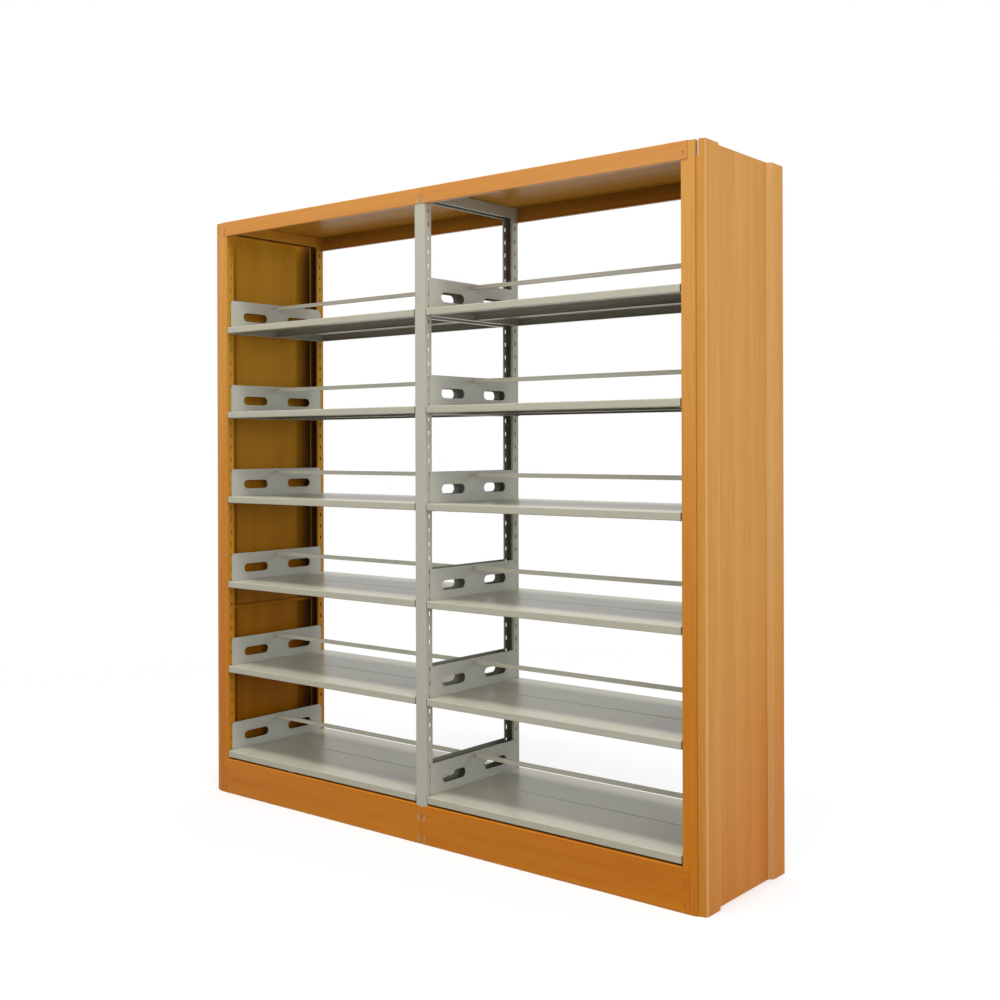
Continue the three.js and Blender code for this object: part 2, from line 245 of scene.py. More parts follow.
# Inside tones are painted shade: darker, olive copies of the print for faces inside the bays and under the
# top.
INNER_PALE = ((0.57, 0.280, 0.022, 1), (0.49, 0.214, 0.014, 1), (0.39, 0.152, 0.008, 1))
FASCIA_INNER = ((0.65, 0.318, 0.040, 1), (0.56, 0.243, 0.027, 1), (0.45, 0.173, 0.016, 1))
INNER_DEEP = ((0.41, 0.143, 0.004, 1), (0.345, 0.110, 0.003, 1), (0.27, 0.077, 0.002, 1))
SHADED_WOOD = ((0.15, 0.075, 0.012, 1), (0.12, 0.055, 0.008, 1), (0.09, 0.040, 0.005, 1))
print("near_floor", DEEP_GRAIN[0][:3], "faded", PALE_GRAIN[0][:3])

# %% Wood-grain pattern
GRAIN_STRETCH = 0.035
GRAIN_SHIFT = {"X": 9, "Y": 5, "Z": 7}
BAND_NOISE, BAND_RANGE, BAND_SHARE = (16, 2), (0.32, 0.68), 0.55
STREAK_NOISE, STREAK_RANGE, STREAK_SHARE = (120, 5, 0.62), (0.36, 0.70), 0.45
VEIN_NOISE, VEIN_RANGE = (380, 3, 0.55), (0.58, 0.76)
VEIN_SHARE, VEIN_SHARE_IN_STREAKS = 0.2, 0.5


def wood_pattern(paint, place, along):
    stretch = [1.0, 1.0, 1.0]
    stretch[along] = GRAIN_STRETCH
    grain = paint.node("VectorMath", {"operation": "MULTIPLY"}, {0: place, 1: stretch})
    chance = paint.node("ObjectInfo", {}, {}, "Random")
    shift = paint.node("CombineXYZ", {}, {axis: chance * step for axis, step in GRAIN_SHIFT.items()})
    grain = paint.node("VectorMath", {"operation": "ADD"}, {0: grain, 1: shift})
    bands = paint.between(paint.noise(grain, *BAND_NOISE), *BAND_RANGE)
    streaks = paint.between(paint.noise(grain, *STREAK_NOISE), *STREAK_RANGE)
    veins = paint.between(paint.noise(grain, *VEIN_NOISE), *VEIN_RANGE)
    depth = bands * BAND_SHARE + streaks * STREAK_SHARE
    return depth, veins * (streaks * VEIN_SHARE_IN_STREAKS + VEIN_SHARE)


# %% Wood-grain finish
CLEAR_GLOSS = 0.12
INSIDE_GLOSS = 0.05
COAT_SHARE = 0.4
COAT_ROUGHNESS = 0.12
# Heights over which painted shade grows from a fascia's open lower edge up to its fold.
FOLD_SHADE_RISE = (-0.052, -0.004)
HIGHLIGHT_SHARE = 0.55
WOOD_PEEL = {"scale": 420, "strength": 0.10}
WOOD_SMUDGES, WOOD_SMUDGE_SHARE, WOOD_ROUGHNESS = (5, 4), 0.14, 0.27


def wood_grain(name, along, faded, lower_tone, painted_light_heights, corner_shade=None, gloss=CLEAR_GLOSS, highlights=(), lean=0.0):
    paint = Paint(bpy.data.materials.new(name))
    place = paint.place()
    height = paint.along("Z", place)
    # Painted light: the print turns paler with height, and the turn leans across an end panel.
    painted_light_share = paint.between(height - paint.along("Y", place) * lean, *painted_light_heights)
    light, deep, vein = [paint.mix(painted_light_share, *pair) for pair in zip(lower_tone, faded)]
    depth, veins = wood_pattern(paint, place, along)
    colour = paint.mix(veins, paint.mix(depth, light, deep), vein)
    reach = paint.along("Y", paint.mirrored(place))
    # Painted highlight lines along folds and corners.
    for rise, fall in highlights:
        edge = paint.between(reach, *rise) * (1 - paint.between(reach, *fall))
        colour = paint.mix(edge * HIGHLIGHT_SHARE, colour, HIGHLIGHT_WOOD)
    # Painted shade: darker towards the corners behind the posts and up into a fascia's fold.
    if corner_shade:
        start, end, most = corner_shade
        shade_share = paint.between(reach, start, end) * paint.between(height, *FOLD_SHADE_RISE) * most
        colour = paint.mix(shade_share, colour, SHADED_WOOD[0])
    return paint.finish(
        Base_Color=colour,
        Roughness=paint.noise(place, *WOOD_SMUDGES) * WOOD_SMUDGE_SHARE + WOOD_ROUGHNESS,
        Specular_IOR_Level=gloss,
        Coat_Weight=gloss * COAT_SHARE,
        Coat_Roughness=COAT_ROUGHNESS,
        Normal=paint.orange_peel(place, **WOOD_PEEL),
    )


# %% [markdown]
# ## Where painted light, shade and highlights fall on the print
# A painted light gradient is given by the two heights between which the print turns from its deep tone to
# its pale one. On an end panel it leans, so that one edge is painted paler than the other. Painted shade is
# given by the distances from the middle line between which the print darkens, with the largest share, and
# on a fascia it also grows from the open lower edge up to the fold. A painted highlight line is given by
# the distances where it rises and where it falls again: an end panel has one along each slanting fold and
# each outer corner. Every length is in metres in the piece's own coordinates.

# %% Wood-grain finishes of the pieces
X_AXIS, Z_AXIS = 0, 2
# Painted light: heights between which the print turns from its deep tone to its pale one.
UPRIGHT_PAINTED_LIGHT = (0.1, 1.9)
PANEL_PAINTED_LIGHT = (-0.05, 0.85)
PANEL_LEAN = 1.2
UPPER_TONE_ONLY = (-2.0, -1.0)
LOWER_TONE_ONLY = (1.0, 2.0)
# Painted shade in the corners behind the posts.
PANEL_CORNER_SHADE = (0.152, 0.204, 0.9)
# Painted highlights along the slanting folds and the outer corners of an end panel.
BEVEL_HIGHLIGHT = ((0.134, 0.1385), (0.1465, 0.151))
CORNER_HIGHLIGHT = ((0.2060, 0.2105), (0.2150, 0.2164))
# Painted shade up into a fascia's fold.
FASCIA_FOLD_SHADE = (0.165, 0.226, 0.42)

UPRIGHT_GRAIN = wood_grain("upright_wood_grain", Z_AXIS, PALE_GRAIN, DEEP_GRAIN, UPRIGHT_PAINTED_LIGHT)
PANEL_GRAIN = wood_grain(
    "panel_wood_grain",
    Z_AXIS,
    PALE_GRAIN,
    DEEP_GRAIN,
    PANEL_PAINTED_LIGHT,
    highlights=(BEVEL_HIGHLIGHT, CORNER_HIGHLIGHT),
    lean=PANEL_LEAN,
)
# Painted shade: the print darker on the inside of the end panels.
UPRIGHT_INSIDE = wood_grain(
    "upright_wood_inside", Z_AXIS, INNER_PALE, INNER_DEEP, UPRIGHT_PAINTED_LIGHT, PANEL_CORNER_SHADE, INSIDE_GLOSS
)
WALL_GRAIN = wood_grain("post_wall_wood_grain", Z_AXIS, WALL_PALE, WALL_DEEP, UPRIGHT_PAINTED_LIGHT)
# Fascias take only the pale end of the painted light gradient, kick plates only the deep end.
FASCIA_GRAIN = wood_grain("fascia_wood_grain", X_AXIS, FASCIA_PALE, DEEP_GRAIN, UPPER_TONE_ONLY)
# Painted shade: the insides of the channels and their cut edges in a dark shade colour.
CHANNEL_INSIDE = wood_grain("channel_wood_inside", Z_AXIS, SHADED_WOOD, SHADED_WOOD, UPRIGHT_PAINTED_LIGHT)
# Painted shade: the print darker under the top panels and on the end crossbars.
FASCIA_INSIDE = wood_grain(
    "fascia_wood_inside", X_AXIS, FASCIA_INNER, INNER_DEEP, UPPER_TONE_ONLY, FASCIA_FOLD_SHADE, INSIDE_GLOSS
)
# Painted shade on the upper faces of the top panels.
TOP_GRAIN = wood_grain("top_wood_grain", X_AXIS, TOP_PALE, TOP_PALE, UPPER_TONE_ONLY)
KICK_GRAIN = wood_grain("kick_wood_grain", X_AXIS, PALE_GRAIN, DEEP_GRAIN, LOWER_TONE_ONLY)
print("wood-grain finishes", UPRIGHT_GRAIN.name, FASCIA_GRAIN.name, KICK_GRAIN.name)

# %% [markdown]
# ## The grey powder coat
# Posts, brackets, bars and boards wear a warm grey powder coat. It melts into a skin with a faint orange
# peel, so the bump is fine and shallow. Cloudy patches in the gloss, where hands and books have passed,
# keep large reflections from looking like a mirror. Boards, bars and brackets each have their own tone of
# the coat, and undersides, inner sides and the bracket faces that look at a post are painted darker, as
# painted shade. So each finish is the same coat in its own tone: the coat, a cooler cloud and pale specks.

# %% Grey coat finish
OUTER_GREY = ((0.490, 0.474, 0.382, 1), (0.440, 0.431, 0.365, 1), (0.57, 0.555, 0.480, 1))
BOARD_GREY = ((0.478, 0.458, 0.358, 1), (0.430, 0.417, 0.340, 1), (0.556, 0.536, 0.448, 1))
BAR_GREY = ((0.610, 0.592, 0.480, 1), (0.555, 0.545, 0.455, 1), (0.67, 0.655, 0.565, 1))
BRACKET_GREY = ((0.490, 0.481, 0.412, 1), (0.440, 0.438, 0.392, 1), (0.57, 0.562, 0.508, 1))
# The underside and inside tones are painted shade.
UNDER_GREY = ((0.43, 0.413, 0.341, 1), (0.376, 0.368, 0.310, 1), (0.51, 0.496, 0.434, 1))
INNER_GREY = ((0.31, 0.299, 0.248, 1), (0.270, 0.265, 0.225, 1), (0.37, 0.360, 0.315, 1))
CLOUD_NOISE, CLOUD_RANGE, CLOUD_SHARE = (11, 4), (0.35, 0.7), 0.35
SPECK_NOISE, SPECK_RANGE, SPECK_SHARE = (900, 2), (0.62, 0.74), 0.25
GREY_PEEL = {"scale": 520, "strength": 0.07}
GREY_SMUDGES, GREY_SMUDGE_SHARE, GREY_ROUGHNESS = (7, 4), 0.06, 0.27
GREY_GLOSS = 0.22


def grey_coat(name, coat, cool, dust):
    paint = Paint(bpy.data.materials.new(name))
    place = paint.place()
    cloud = paint.between(paint.noise(place, *CLOUD_NOISE), *CLOUD_RANGE)
    speck = paint.between(paint.noise(place, *SPECK_NOISE), *SPECK_RANGE)
    colour = paint.mix(cloud * CLOUD_SHARE, coat, cool)
    return paint.finish(
        Base_Color=paint.mix(speck * SPECK_SHARE, colour, dust),
        Roughness=paint.noise(place, *GREY_SMUDGES) * GREY_SMUDGE_SHARE + GREY_ROUGHNESS,
        Specular_IOR_Level=GREY_GLOSS,
        Normal=paint.orange_peel(place, **GREY_PEEL),
    )


GREY = grey_coat("grey_powder_coat", *OUTER_GREY)
GREY_BOARD = grey_coat("board_grey_coat", *BOARD_GREY)
GREY_BAR = grey_coat("bar_grey_coat", *BAR_GREY)
GREY_BRACKET = grey_coat("bracket_grey_coat", *BRACKET_GREY)
# Painted shade for undersides, the centre crossbars and the insides of channels, bars and brackets.
GREY_UNDER = grey_coat("underside_grey_coat", *UNDER_GREY)
GREY_INSIDE = grey_coat("thin_grey_coat", *INNER_GREY)
print("grey finishes", GREY.name, GREY_INSIDE.name)

# %% [markdown]
# ## Folding sheet metal
# Every piece of this unit starts as a flat blank. The shop punches slots and holes, folds the blank along
# straight lines, and the fold comes out as a small arc. The same order works in code: describe the section
# by its sharp corners, round each corner with the inside radius plus the sheet's thickness, punch the
# flats, and then give the skin its thickness. Complex numbers stand for points of the section, because
# turning a point is then one multiplication. A modifier could give the thickness too, but here each face
# keeps a note of the skin that it belongs to, outer, inner or rim, and a piece chooses its finishes by that
# note.
#
# A punched flat is filled with triangles that keep its outline and its holes as edges. A triangle with all
# three corners on one hole is part of the slug that the punch drops, so it is left out.

# %% Flats and folds of a section
FOLD_STEPS = 5


def fold_plan(corners, thickness, inner_radius):
    radii = inner_radius if isinstance(inner_radius, list) else [inner_radius] * len(corners)
    ways = [(b - a) / abs(b - a) for a, b in zip(corners, corners[1:])]
    trims = [0.0] * len(corners)
    folds = []
    for i in range(1, len(corners) - 1):
        turn = cmath.phase(ways[i] / ways[i - 1])
        side = math.copysign(1, turn)
        radius = radii[i] + (thickness if turn > 0 else 0)
        trims[i] = radius * math.tan(abs(turn) / 2)
        inward = ways[i - 1] * 1j
        centre = corners[i] - ways[i - 1] * trims[i] + inward * side * radius
        normals = [inward * cmath.rect(1, turn * step / FOLD_STEPS) for step in range(FOLD_STEPS + 1)]
        folds.append([(centre - normal * side * radius, normal) for normal in normals])
    flats = []
    for i, way in enumerate(ways):
        length = abs(corners[i + 1] - corners[i])
        flats.append((corners[i], way, trims[i], length - trims[i + 1]))
    return flats, folds


# %% Oblong holes and punched flats
ROUND_STEPS = 8
INSIDE_OUTLINES = 1
MERGE_DISTANCE = 1e-7


def rectangle(start, end, low, high):
    return [complex(start, low), complex(end, low), complex(end, high), complex(start, high)]


def oblong(middle, width, length, lean=0.0):
    radius = width / 2
    reach = length / 2 - radius
    points = []
    for end in (1, -1):
        for step in range(ROUND_STEPS + 1):
            point = end * (1j * reach + cmath.rect(radius, math.pi * step / ROUND_STEPS))
            points.append(middle + point * cmath.rect(1, -lean))
    return points


def filled(outline, holes):
    if len(outline) == 4 and not holes:
        return outline, [range(4)]
    points, edges, loop_of = [], [], []
    for number, loop in enumerate([outline, *holes]):
        first = len(points)
        points += loop
        loop_of += [number] * len(loop)
        edges += [(first + i, first + (i + 1) % len(loop)) for i in range(len(loop))]
    flat = [Vector((point.real, point.imag)) for point in points]
    made = delaunay_2d_cdt(flat, edges, [], INSIDE_OUTLINES, MERGE_DISTANCE)
    _, _, triangles, found, _, _ = made
    triangles = [[found[i][0] for i in triangle] for triangle in triangles]
    return points, [t for t in triangles if loop_of[t[0]] == 0 or len({loop_of[i] for i in t}) > 1]


# %% A folded and punched skin
SAME_POINT_DIGITS = 8


def press(corners, thickness, inner_radius, span, outlines=None, holes=None, fold_spans=None):
    outlines, holes, fold_spans = outlines or {}, holes or {}, fold_spans or {}
    flats, folds = fold_plan(corners, thickness, inner_radius)
    known, places, inward, skin = {}, [], [], []

    def vertex(across, along, normal):
        key = tuple(round(part, SAME_POINT_DIGITS) for part in (across.real, across.imag, along))
        if key not in known:
            known[key] = len(places)
            places.append(Vector((across.real, across.imag, along)))
            inward.append(Vector((normal.real, normal.imag, 0)))
        return known[key]

    for i, (corner, way, start, end) in enumerate(flats):
        points, faces = filled(outlines.get(i, rectangle(start, end, *span)), holes.get(i, []))
        made = [vertex(corner + way * point.real, point.imag, way * 1j) for point in points]
        skin += [[made[k] for k in face] for face in faces]
    for i, stations in enumerate(folds):
        first, last = fold_spans.get(i, span)
        for (a, a_in), (b, b_in) in zip(stations, stations[1:]):
            quad = [(a, first, a_in), (b, first, b_in), (b, last, b_in), (a, last, a_in)]
            skin.append([vertex(*corner) for corner in quad])
    return thicken(places, inward, skin, thickness)


# %% The skin's thickness
OUTER, INNER, RIM = range(3)


def thicken(places, inward, skin, thickness):
    count = len(places)
    points = places + [place + normal * thickness for place, normal in zip(places, inward)]
    faces = [list(face) for face in skin]
    normals = [[-inward[i] for i in face] for face in skin]
    faces += [[i + count for i in reversed(face)] for face in skin]
    normals += [[inward[i] for i in reversed(face)] for face in skin]
    skins = [OUTER] * len(skin) + [INNER] * len(skin)
    sides = {(face[k - 1], face[k]) for face in skin for k in range(len(face))}
    for a, b in sorted(sides):
        if (b, a) not in sides:
            rim = [b, a, a + count, b + count]
            faces.append(rim)
            skins.append(RIM)
            across = (points[a] - points[b]).cross(points[a + count] - points[a])
            normals.append([across.normalized()] * len(rim))
    return points, faces, normals, skins


# %% From pressed sheets to a mesh
def turned(sheet, axes, origin=(0, 0, 0)):
    points, faces, normals, skins = sheet
    turn = Matrix(axes).transposed()
    moved = [turn @ point + Vector(origin) for point in points]
    return moved, faces, [[turn @ normal for normal in corner] for corner in normals], skins


def inner_side(skin, normal):
    return int(skin == INNER)


def joined_mesh(name, finishes, sheets, choose=inner_side):
    points, faces, normals, finish_of = [], [], [], []
    for sheet_points, sheet_faces, sheet_normals, skins in sheets:
        first = len(points)
        points += sheet_points
        faces += [[first + i for i in face] for face in sheet_faces]
        normals += [normal for face in sheet_normals for normal in face]
        finish_of += [choose(skin, corners[0]) for skin, corners in zip(skins, sheet_normals)]
    mesh = bpy.data.meshes.new(name)
    mesh.from_pydata(points, [], faces, shade_flat=False)
    mesh.normals_split_custom_set(normals)
    for finish in finishes:
        mesh.materials.append(finish)
    mesh.polygons.foreach_set("material_index", finish_of)
    print(name, len(mesh.polygons), "faces,", finish_of.count(0), "in", finishes[0].name)
    return mesh


# %% Putting a piece in its node's place
WOOD_SLOT = "wood_grain_coat"
GREY_SLOT = "grey_coat"


def body_of(node):
    return frame["nodes"][node]["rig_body"]


def place_piece(name, mesh, body, place, half_turn=False):
    piece = bpy.data.objects.new(name, mesh)
    piece.location = place
    piece.rotation_euler.z = math.pi if half_turn else 0
    bpy.context.scene.collection.objects.link(piece)
    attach(piece, body)
    return piece


def add_piece(name, mesh, node, place, half_turn=False):
    piece = place_piece(name, mesh, body_of(node), place, half_turn)
    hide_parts(node)


# %% [markdown]
# ## Posts and crossbars
# A post is a lipped channel: a web that faces out, two walls with a column of slots, and two short lips
# that stiffen the open side. Six of them stand in three pairs, and a bar of the same section, laid with its
# open side down, ties each pair together at the top and at the foot. Only the walls that face a bay are
# punched. The slots look dark from the side, because the inside of the channel and the cut edges are
# painted in a dark shade colour, as painted shade.

# %% Sizes of the slotted channel
POST_SHEET = 1.5 * MM
FOLD_RADIUS = 0.7 * MM
CHANNEL_LIP = 7 * MM
SLOT_PITCH = 42.4 * MM
SLOT_WIDTH = 5 * MM
SLOT_HEIGHT = 14 * MM
SLOT_SETBACK = 17 * MM
SLOT_TOP_MARGIN = 60 * MM
SHELF_BELOW_SLOT = 2.6 * MM
UPRIGHT_AXES = ((1, 0, 0), (0, 1, 0), (0, 0, 1))
CROSSBAR_AXES = ((1, 0, 0), (0, 0, -1), (0, 1, 0))
LEFT_WALL, RIGHT_WALL = 1, 3

first_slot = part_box("shelf_board_left_1_front")[1].z + SHELF_BELOW_SLOT


def lipped_channel(width, depth):
    half = width / 2
    return [
        complex(CHANNEL_LIP - half, depth),
        complex(-half, depth),
        complex(-half, 0),
        complex(half, 0),
        complex(half, depth),
        complex(half - CHANNEL_LIP, depth),
    ]


# %% Posts and crossbars
FACING = 0.9


# Insides and cut edges take the second finish, painted shade, and walls that face a bay the third.
def channel_side(skin, normal):
    if skin != OUTER:
        return 1
    return 2 if abs(normal.x) > FACING else 0


def post_mesh(name, finishes, size, slotted_walls):
    rows = 1 + math.floor((size.z - SLOT_TOP_MARGIN - first_slot) / SLOT_PITCH)
    holes = {}
    for wall in slotted_walls:
        across = SLOT_SETBACK if wall == RIGHT_WALL else size.y - SLOT_SETBACK
        middles = [complex(across, first_slot + row * SLOT_PITCH) for row in range(rows)]
        holes[wall] = [oblong(middle, SLOT_WIDTH, SLOT_HEIGHT) for middle in middles]
    section = lipped_channel(size.x, size.y)
    sheet = press(section, POST_SHEET, FOLD_RADIUS, (0, size.z), holes=holes)
    return joined_mesh(name, finishes, [turned(sheet, UPRIGHT_AXES)], channel_side)


def crossbar_mesh(name, finishes, size):
    span = (-size.y / 2, size.y / 2)
    sheet = press(lipped_channel(size.x, size.z), POST_SHEET, FOLD_RADIUS, span)
    return joined_mesh(name, finishes, [turned(sheet, CROSSBAR_AXES)])


def size_of(node):
    low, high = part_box(node)
    return high - low


post_size = size_of("front_post_centre")
crossbar_size = size_of("top_crossbar_centre")
post_wood = (UPRIGHT_GRAIN, CHANNEL_INSIDE, WALL_GRAIN)
post_grey = (GREY, GREY_INSIDE, GREY)
right_slotted_post = post_mesh("right_slotted_post", post_wood, post_size, [RIGHT_WALL])
left_slotted_post = post_mesh("left_slotted_post", post_wood, post_size, [LEFT_WALL])
centre_post = post_mesh("centre_post", post_grey, post_size, [LEFT_WALL, RIGHT_WALL])
# Crossbars take painted shade: the end ones the darker inside print, the centre ones the underside grey.
end_crossbar = crossbar_mesh("end_crossbar", (FASCIA_INSIDE, CHANNEL_INSIDE), crossbar_size)
centre_crossbar = crossbar_mesh("centre_crossbar", (GREY_UNDER, GREY_INSIDE), crossbar_size)

# %% Three uprights
SIDES = ("front", "rear")
UPRIGHTS = {
    "left": (right_slotted_post, left_slotted_post, end_crossbar, WOOD_SLOT),
    "centre": (centre_post, centre_post, centre_crossbar, GREY_SLOT),
    "right": (left_slotted_post, right_slotted_post, end_crossbar, WOOD_SLOT),
}


def outward_place(node, side, height):
    low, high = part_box(node)
    return (low.x + high.x) / 2, low.y if side == "front" else high.y, height


for upright, (front_mesh, rear_mesh, bar_mesh, slot) in UPRIGHTS.items():
    for side, mesh in zip(SIDES, (front_mesh, rear_mesh)):
        node = f"{side}_post_{upright}"
        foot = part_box(node)[0].z
        add_piece(f"{node}_channel", mesh, node, outward_place(node, side, foot), side == "rear")
    for level in ("top", "bottom"):
        node = f"{level}_crossbar_{upright}"
        low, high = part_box(node)
        middle = (low + high) / 2
        add_piece(f"{node}_channel", bar_mesh, node, (middle.x, middle.y, high.z))
print("uprights", *UPRIGHTS, "with the first slot at", round(first_slot, 4))

# %% [markdown]
# ## End panels
# Each end is closed by one sheet that hooks over the posts: a raised strip beside each post and a wide
# field set in between them, joined by slanting folds. The outer corners have a generous radius, and they
# and the slanting folds carry a pale painted highlight line. A groove parts the return from the post, a
# notch at its top holds a small zinc angle, and two rails stiffen the inside, which is painted darker as
# painted shade.

# %% End panels
PANEL_SHEET = 1 * MM
PANEL_GROOVE = 0.6 * MM
PANEL_SLANT = 5 * MM
PANEL_CORNER_RADIUS = 5 * MM
PANEL_STRIP = 69 * MM
PANEL_BEVEL = 9 * MM
PANEL_RECESS = 13 * MM
PANEL_NOTCH_WIDTH = 7 * MM
PANEL_NOTCH_HEIGHT = 42 * MM
PANEL_RAIL_DEPTH = 10 * MM
PANEL_RAIL_HEIGHT = 12 * MM
PANEL_RAIL_SETBACK = 11 * MM
PANEL_RAIL_SHARES = (0.323, 0.667)
DEPTH_AXES = ((1, 0, 0), (0, 0, 1), (0, -1, 0))
HANDS = ("left", "right")


def panel_rails(weld, reach, height):
    wall = weld - PANEL_RAIL_DEPTH
    rails = []
    for share in PANEL_RAIL_SHARES:
        top = share * height
        foot = top - PANEL_RAIL_HEIGHT
        section = rectangle(weld, wall, top, foot)
        sheet = press(section, PANEL_SHEET, FOLD_RADIUS, (-reach, reach))
        points, faces, normals, skins = turned(sheet, DEPTH_AXES)
        rails.append((points, faces, normals, [INNER] * len(skins)))
    return rails


def end_panel_mesh(size):
    edge = size.y / 2
    corner = edge - PANEL_SLANT
    strip = corner - PANEL_STRIP
    field = strip - PANEL_BEVEL
    half = [
        complex(0, edge),
        complex(size.x, corner),
        complex(size.x, strip),
        complex(size.x - PANEL_RECESS, field),
    ]
    section = [point.conjugate() for point in half] + half[::-1]
    radii = [0, PANEL_CORNER_RADIUS, FOLD_RADIUS, FOLD_RADIUS]
    radii += radii[::-1]
    flats, _ = fold_plan(section, PANEL_SHEET, radii)
    _, way, _, end = flats[0]
    whole = abs(section[1] - section[0])
    notch = PANEL_NOTCH_WIDTH / way.real
    top = size.z
    sill = top - PANEL_NOTCH_HEIGHT
    trim = PANEL_GROOVE / way.real
    front = rectangle(trim, end, 0, top)[:3]
    front += [complex(notch, top), complex(notch, sill), complex(trim, sill)]
    rear = [complex(whole - point.real, point.imag) for point in reversed(front)]
    sheet = press(section, PANEL_SHEET, radii, (0, top), {0: front, len(flats) - 1: rear})
    weld = size.x - PANEL_RECESS - PANEL_SHEET
    rails = panel_rails(weld, edge - PANEL_RAIL_SETBACK, size.z)
    finishes = (PANEL_GRAIN, UPRIGHT_INSIDE)
    return joined_mesh("end_panel", finishes, [turned(sheet, UPRIGHT_AXES), *rails])


end_panel = end_panel_mesh(size_of("end_panel_right"))
for end in HANDS:
    node = f"end_panel_{end}"
    low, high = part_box(node)
    inner = low.x if end == "right" else high.x
    add_piece(f"{node}_sheet", end_panel, node, (inner, 0, low.z), end == "left")

# %% [markdown]
# ## Panel clips
# A small angle of bare zinc stands in the notch at the top of each panel return, put there so that the
# notch shows a bright line: a painted highlight. Its finish is a metal with the faint crystal patches of a
# galvanized sheet. Two meshes serve the four corners, because a half turn carries one corner to the
# opposite one.

# %% Zinc finish
ZINC_DARK = (0.42, 0.41, 0.38, 1)
ZINC_LIGHT = (0.55, 0.54, 0.50, 1)
ZINC_CRYSTAL_SCALE = 260.0
ZINC_METALLIC = 0.6
ZINC_ROUGHNESS, ZINC_ROUGHNESS_STEP = 0.34, 0.12


def zinc_plate():
    paint = Paint(bpy.data.materials.new("zinc_plate"))
    sockets = {"Vector": paint.place(), "Scale": ZINC_CRYSTAL_SCALE}
    tone = paint.along("X", paint.node("TexVoronoi", {}, sockets, "Color"))
    return paint.finish(
        Base_Color=paint.mix(tone, ZINC_DARK, ZINC_LIGHT),
        Metallic=ZINC_METALLIC,
        Roughness=tone * ZINC_ROUGHNESS_STEP + ZINC_ROUGHNESS,
    )


# %% Panel clips
CLIP_SHEET = 1.2 * MM
CLIP_GAP = 0.1 * MM
CLIP_WIDTH = 9 * MM
CLIP_DEPTH = 14 * MM
CLIP_SETBACK = 4 * MM
CLIP_HEIGHT = 45 * MM
CLIP_TOP_GAP = 2 * MM


def clip_mesh(name, finish, face, toward_front):
    section = [complex(CLIP_GAP, face + CLIP_DEPTH), complex(CLIP_GAP, face), complex(CLIP_WIDTH, face)]
    if not toward_front:
        section = [point.conjugate() for point in reversed(section)]
    sheet = press(section, CLIP_SHEET, FOLD_RADIUS, (-CLIP_HEIGHT, 0))
    return joined_mesh(name, (finish, finish), [turned(sheet, UPRIGHT_AXES)])


low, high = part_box("end_panel_right")
clip_face = low.y + CLIP_SETBACK
clip_top = high.z - CLIP_TOP_GAP
# A bright zinc angle in each notch, as a painted highlight.
zinc = zinc_plate()
front_clip = clip_mesh("front_panel_clip", zinc, clip_face, True)
rear_clip = clip_mesh("rear_panel_clip", zinc, clip_face, False)
CLIP_ENDS = {
    "right": (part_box("front_post_right")[1].x, (front_clip, rear_clip)),
    "left": (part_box("front_post_left")[0].x, (rear_clip, front_clip)),
}
for end, (wall, meshes) in CLIP_ENDS.items():
    body = body_of(f"end_panel_{end}")
    for side, mesh in zip(SIDES, meshes):
        place = (wall, 0, clip_top)
        place_piece(f"panel_clip_{end}_{side}", mesh, body, place, end == "left")

# %% [markdown]
# ## Top panels and kick plates
# A top panel lies over the posts and turns down into a fascia at the front and the rear. A kick plate
# closes the space under the lowest boards. Both reach to the centre lines of the posts, so two neighbours
# meet there, and both show small leaning slots at their ends where they hook on. Their returns stop short
# of the posts. The upper face of a top panel has a finish of its own, a darker copy of the print that is
# painted shade against the overhead lamps.

# %% Cover sizes and corners
COVER_SHEET = 1.2 * MM
COVER_RETURN = 14 * MM
FASCIA_CORNER_RADIUS = 5 * MM
KICK_CORNER_RADIUS = 10 * MM
KICK_TOP_RADIUS = 2 * MM
COVER_POST_ROOM = 21.4 * MM
HOOK_HOLE_WIDTH = 6 * MM
HOOK_HOLE_HEIGHT = 21 * MM
HOOK_HOLE_INSET = 12 * MM
HOOK_HOLE_LEAN = math.radians(9)
FASCIA_HOLE_RISE = 13.5 * MM
KICK_HOLE_RISES = (17 * MM, 80 * MM)
LENGTH_AXES = ((0, 1, 0), (0, 0, 1), (1, 0, 0))


def hook_holes(half, rises):
    holes = []
    for end in (-1, 1):
        along = end * (half - HOOK_HOLE_INSET)
        for rise in rises:
            upright = oblong(0, HOOK_HOLE_WIDTH, HOOK_HOLE_HEIGHT, -end * HOOK_HOLE_LEAN)
            holes.append([complex(rise + point.imag, along + point.real) for point in upright])
    return holes


def flipped(holes, height):
    return [[complex(height - point.real, point.imag) for point in reversed(hole)] for hole in holes]


def quarter_round(radius):
    return [cmath.rect(radius, math.pi / 2 * step / ROUND_STEPS) for step in range(ROUND_STEPS + 1)]


def cover_face(start, end, half, inner, radius):
    shoulder = complex(end - radius, half - radius)
    upper = [complex(end, inner)] + [shoulder + point for point in quarter_round(radius)]
    lower = [point.conjugate() for point in reversed(upper)]
    return [complex(start, -half)] + lower + upper + [complex(start, half)]


# %% Top panels
REAR_RETURN, REAR_FASCIA, FRONT_FASCIA, FRONT_RETURN = 0, 1, 3, 4
REAR_LIP_FOLD, FRONT_LIP_FOLD = 0, 3


# Faces that look up take the third finish, painted shade.
def upper_face_side(skin, normal):
    if skin == INNER:
        return 1
    return 2 if normal.z > FACING else 0


